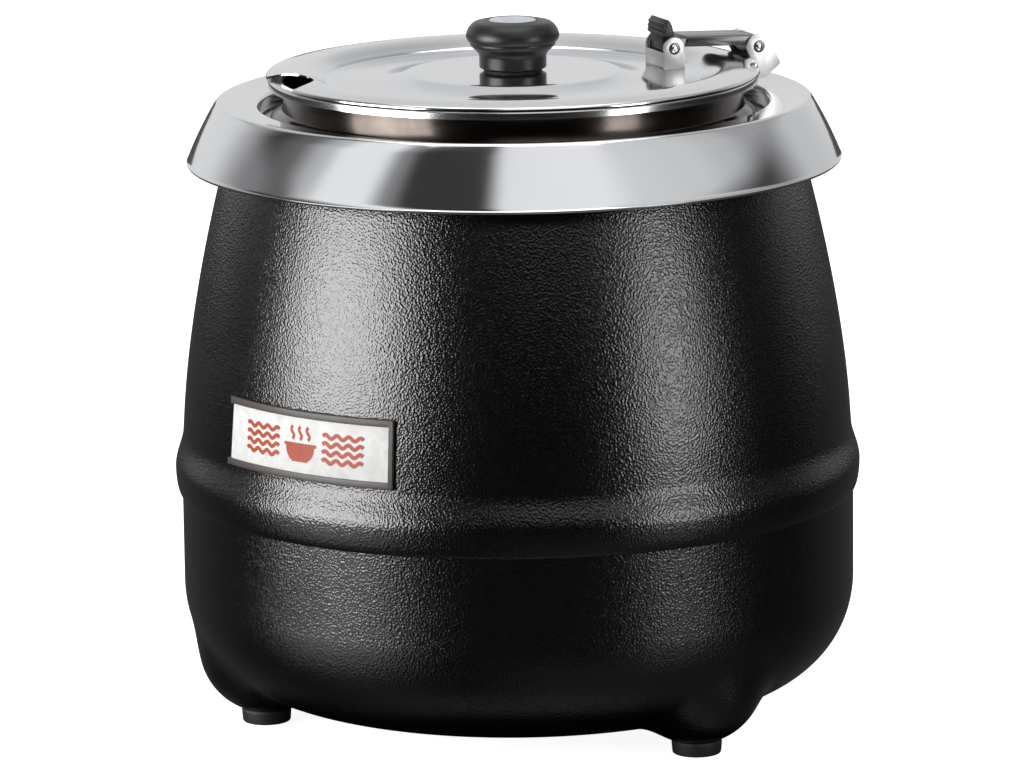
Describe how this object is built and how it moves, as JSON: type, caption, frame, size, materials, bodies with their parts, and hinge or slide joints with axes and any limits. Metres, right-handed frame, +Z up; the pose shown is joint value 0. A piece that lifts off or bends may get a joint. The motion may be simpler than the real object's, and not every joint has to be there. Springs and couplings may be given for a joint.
{
  "type": "soup kettle",
  "caption": "Electric wet-well soup kettle with a lift-out pot, hinged ladle-notch lid, release lever, label holder, rear thermostat and feet.",
  "frame": {"origin": "centre of the housing at the level of the surface that the feet stand on", "axes": "+Z up along the housing's axis, -Y to the front where the label is, +X to the right seen from the front"},
  "size_m": [0.3414, 0.3414, 0.3482],
  "materials": {
    "black_powder": "semi-gloss powder coat with a fine hammered grain",
    "polished_steel": "polished stainless steel",
    "satin_steel": "satin stainless steel",
    "zinc_steel": "zinc-plated steel",
    "aluminium_sheet": "mill finish",
    "black_plastic": "moulded phenolic and nylon",
    "foot_rubber": "matt black rubber",
    "gasket_rubber": "silicone rubber",
    "element_band": "heat-tinted steel-cased mica band",
    "glass_wool": "glass wool blanket",
    "pale_plastic": "moulded ivory plastic",
    "copper_bulb": "copper bulb and capillary",
    "amber_lens": "amber lens",
    "wire_cover": "silicone-covered wire",
    "holder_dark": "dark brown-grey enamel",
    "card_white": "white card",
    "cap_grey": "pale grey cap"
  },
  "bodies": {
    "housing": {"upper_shell": "black_powder", "lower_shell": "black_powder", "collar": "polished_steel", "collar_studs": "zinc_steel", "collar_nuts": "zinc_steel", "pan_gasket": "gasket_rubber", "water_pan": "satin_steel", "insulation_wrap": "glass_wool", "heat_spreader": "aluminium_sheet", "heating_element": "element_band", "element_clamp": "zinc_steel", "tie_rod": "zinc_steel", "tie_nuts": "zinc_steel", "heat_shield": "aluminium_sheet", "thermal_cutout": "black_plastic", "base_plate": "black_powder", "base_screws": "zinc_steel", "rubber_feet": "foot_rubber", "foot_screws": "zinc_steel", "foot_nuts": "zinc_steel", "control_tray": "black_powder", "dial_plate": "aluminium_sheet", "thermostat": "pale_plastic", "thermostat_bulb": "copper_bulb", "pilot_lamp": "amber_lens", "lamp_bezel": "polished_steel", "cable_gland": "black_plastic", "gland_nut": "black_plastic", "terminal_block": "pale_plastic", "inner_wires": "wire_cover", "label_holder": "holder_dark", "holder_rivets": "zinc_steel"},
    "control": {"control_knob": "black_plastic", "control_spindle": "zinc_steel"},
    "card": {"label_card": "card_white"},
    "pot": {"inner_pot": "satin_steel", "hinge_bracket": "satin_steel", "rim_clamp": "black_plastic", "clamp_screws": "zinc_steel"},
    "arm": {"hinge_arm": "black_plastic", "front_pin": "polished_steel", "rear_pin": "polished_steel"},
    "lid": {"lid": "polished_steel", "lid_bracket": "satin_steel", "bracket_rivets": "satin_steel", "knob_base": "foot_rubber", "lid_knob": "black_plastic", "knob_cap": "cap_grey", "knob_screw": "zinc_steel", "knob_washer": "zinc_steel"},
    "lever": {"release_lever": "black_plastic"}
  },
  "joints": [
    {"name": "pot_lift", "type": "slide", "parent": "housing", "child": "pot", "axis": [0, 0, 1], "range_m": [0, 0.26]},
    {"name": "lid_hinge", "type": "hinge", "parent": "pot", "child": "arm", "pos_m": [0.06365, 0.11024, 0.3275], "axis": [-0.866, 0.5, 0], "range_deg": [0, 85]},
    {"name": "lid_tilt", "type": "hinge", "parent": "arm", "child": "lid", "pos_m": [0.04075, 0.07058, 0.3294], "axis": [-0.866, 0.5, 0], "range_deg": [0, 10.5]},
    {"name": "lever_press", "type": "hinge", "parent": "arm", "child": "lever", "pos_m": [0.04075, 0.07058, 0.3294], "axis": [0.866, -0.5, 0], "range_deg": [0, 30]},
    {"name": "thermostat_dial", "type": "hinge", "parent": "housing", "child": "control", "pos_m": [0.05595, 0.1409, 0.067], "axis": [-0.5, -0.866, 0], "range_deg": [0, 270]},
    {"name": "card_slide", "type": "hinge", "parent": "housing", "child": "card", "pos_m": [0, 0, 0.1625], "axis": [0, 0, -1], "range_deg": [0, 40]}
  ],
  "couplings": [
    {"joint": "lid_tilt", "follows": "lid_hinge", "ratio": 0.12}
  ]
}
